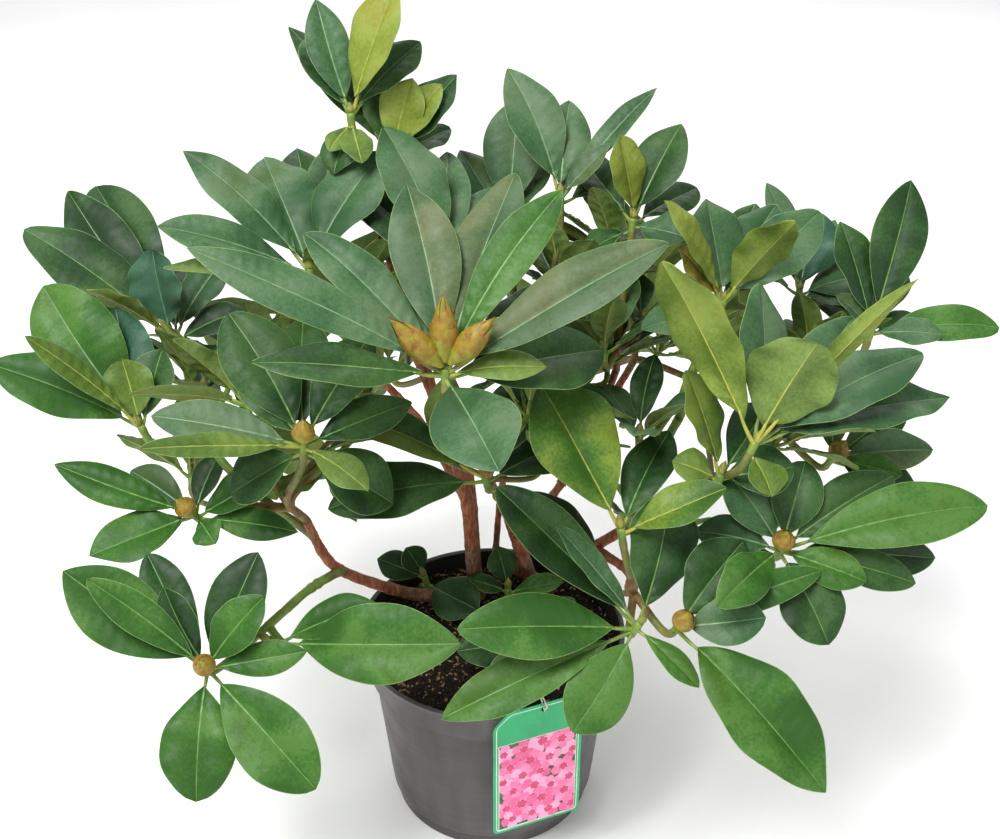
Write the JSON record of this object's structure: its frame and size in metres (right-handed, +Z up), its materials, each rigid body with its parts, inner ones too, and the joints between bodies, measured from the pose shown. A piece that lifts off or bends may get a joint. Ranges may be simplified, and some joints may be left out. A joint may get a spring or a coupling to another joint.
{
  "type": "potted rhododendron",
  "caption": "Young evergreen rhododendron with long leathery leaves in whorls round fat buds, in a round dark plastic nursery pot of soil with a picture tag.",
  "frame": {"origin": "the middle of the pot's flat underside, on the surface that it stands on", "axes": "+Z up the pot's axis, -Y toward the front where the tag hangs, +X to the right as seen from the front"},
  "size_m": [0.7741, 0.5697, 0.6778],
  "materials": {
    "pot": "satin moulded plastic",
    "soil": "damp crumbly peat",
    "tag": "printed card-thin plastic",
    "tie": "thin pale tie",
    "bark": "smooth to finely cracked bark",
    "foliage": "leathery, slightly glossy"
  },
  "bodies": {
    "root": {"pot": "pot", "soil": "soil", "tag": "tag", "tag_loop": "tie", "main_stem": "bark", "top_bough": "bark", "back_left_bough": "bark", "thin_stem": "bark", "front_stem": "bark", "right_stem": "bark", "front_right_bough": "bark", "right_low_bough": "bark", "far_right_bough": "bark", "right_upper_bough": "bark", "upper_right_stem": "bark", "back_right_bough": "bark", "back_stem": "bark", "left_stem": "bark", "low_left_bough": "bark", "far_left_bough": "bark", "foliage_front_centre": "foliage", "foliage_front_right": "foliage", "foliage_right_front": "foliage", "foliage_right_low": "foliage", "foliage_front_left": "foliage", "foliage_left": "foliage", "foliage_far_left": "foliage", "foliage_upper_left": "foliage", "foliage_top": "foliage", "foliage_upper_centre": "foliage", "foliage_upper_right": "foliage", "foliage_right_upper": "foliage", "foliage_far_right": "foliage", "foliage_back_left": "foliage", "foliage_back": "foliage", "foliage_back_right": "foliage", "basal_leaves_left": "foliage", "basal_leaves_right": "foliage", "basal_leaves_front": "foliage"}
  },
  "joints": []
}
